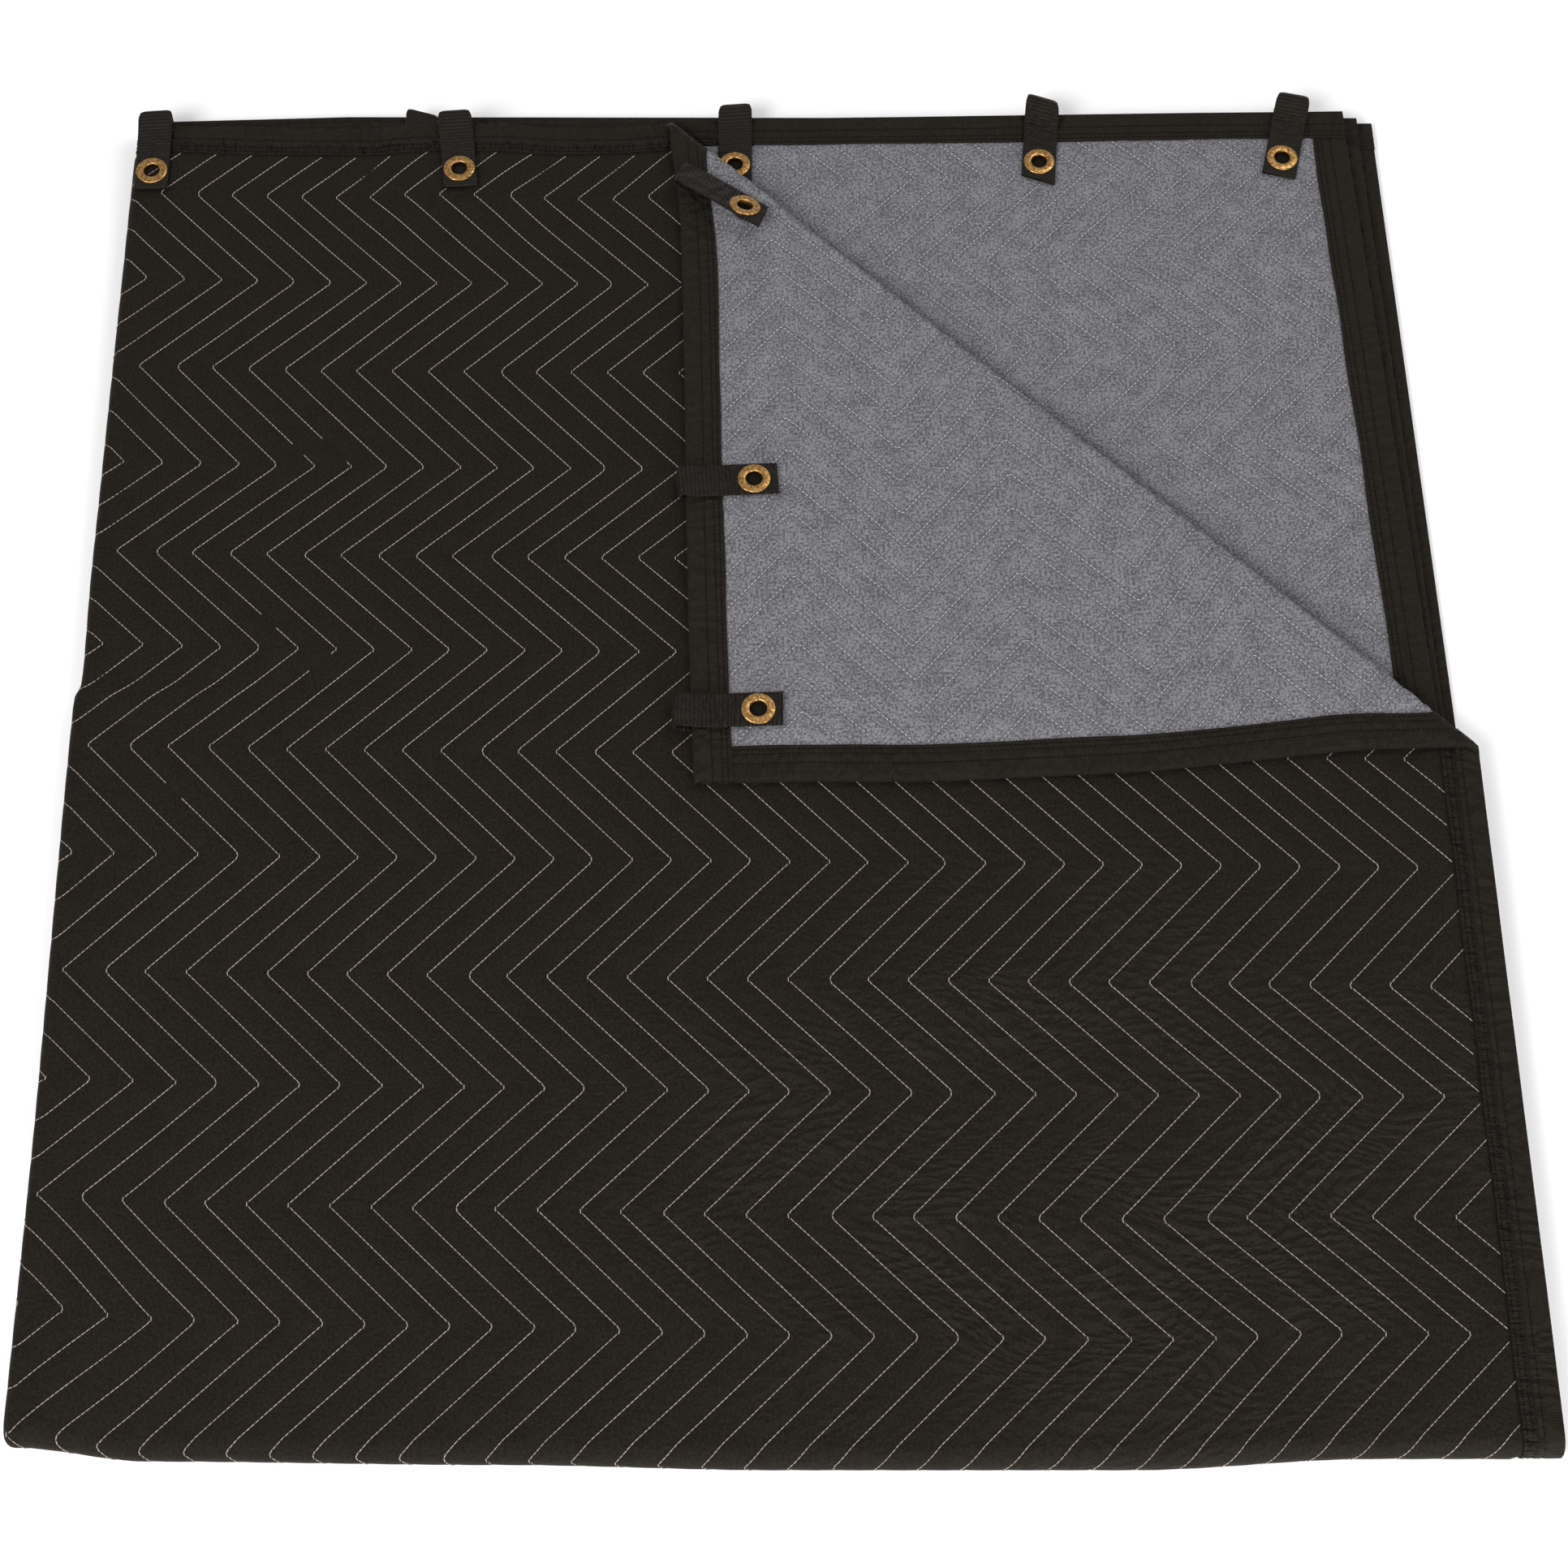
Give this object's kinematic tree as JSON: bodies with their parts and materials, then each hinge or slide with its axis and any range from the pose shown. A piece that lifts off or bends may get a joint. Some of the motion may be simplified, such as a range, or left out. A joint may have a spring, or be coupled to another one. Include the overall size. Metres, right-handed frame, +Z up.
{
  "type": "industrial blanket",
  "caption": "Quilted black and grey industrial blanket folded in quarters with one corner turned over, tape-bound, with brass-eyeleted hanging loops.",
  "frame": {"origin": "on the surface it lies on, under the middle of the folded blanket", "axes": "+Z up from the surface, +X to the right and +Y to the back as the picture shows it; the front edge is the last fold"},
  "size_m": [0.9434, 1.0154, 0.0441],
  "materials": {
    "quilted_cloth": "matte quilted non-woven, black outside and grey inside",
    "binding_tape": "matte woven tape",
    "webbing": "ribbed webbing",
    "brass": "polished, lightly worn"
  },
  "bodies": {
    "root": {"quilted_cloth": "quilted_cloth", "binding_top_edge": "binding_tape", "binding_bottom_edge": "binding_tape", "binding_right_edge": "binding_tape", "binding_left_edge": "binding_tape", "loop_1_left_fold": "webbing", "grommet_1_left_fold": "brass", "loop_2_top_layer": "webbing", "grommet_2_top_layer": "brass", "loop_3_trapped": "webbing", "grommet_3_trapped": "brass", "loop_4_second_layer": "webbing", "grommet_4_second_layer": "brass", "loop_5_second_layer": "webbing", "grommet_5_second_layer": "brass", "loop_6_second_layer": "webbing", "grommet_6_second_layer": "brass", "loop_7_turned_corner": "webbing", "grommet_7_turned_corner": "brass", "loop_8_turned_corner": "webbing", "grommet_8_turned_corner": "brass", "loop_9_turned_corner": "webbing", "grommet_9_turned_corner": "brass"}
  },
  "joints": []
}
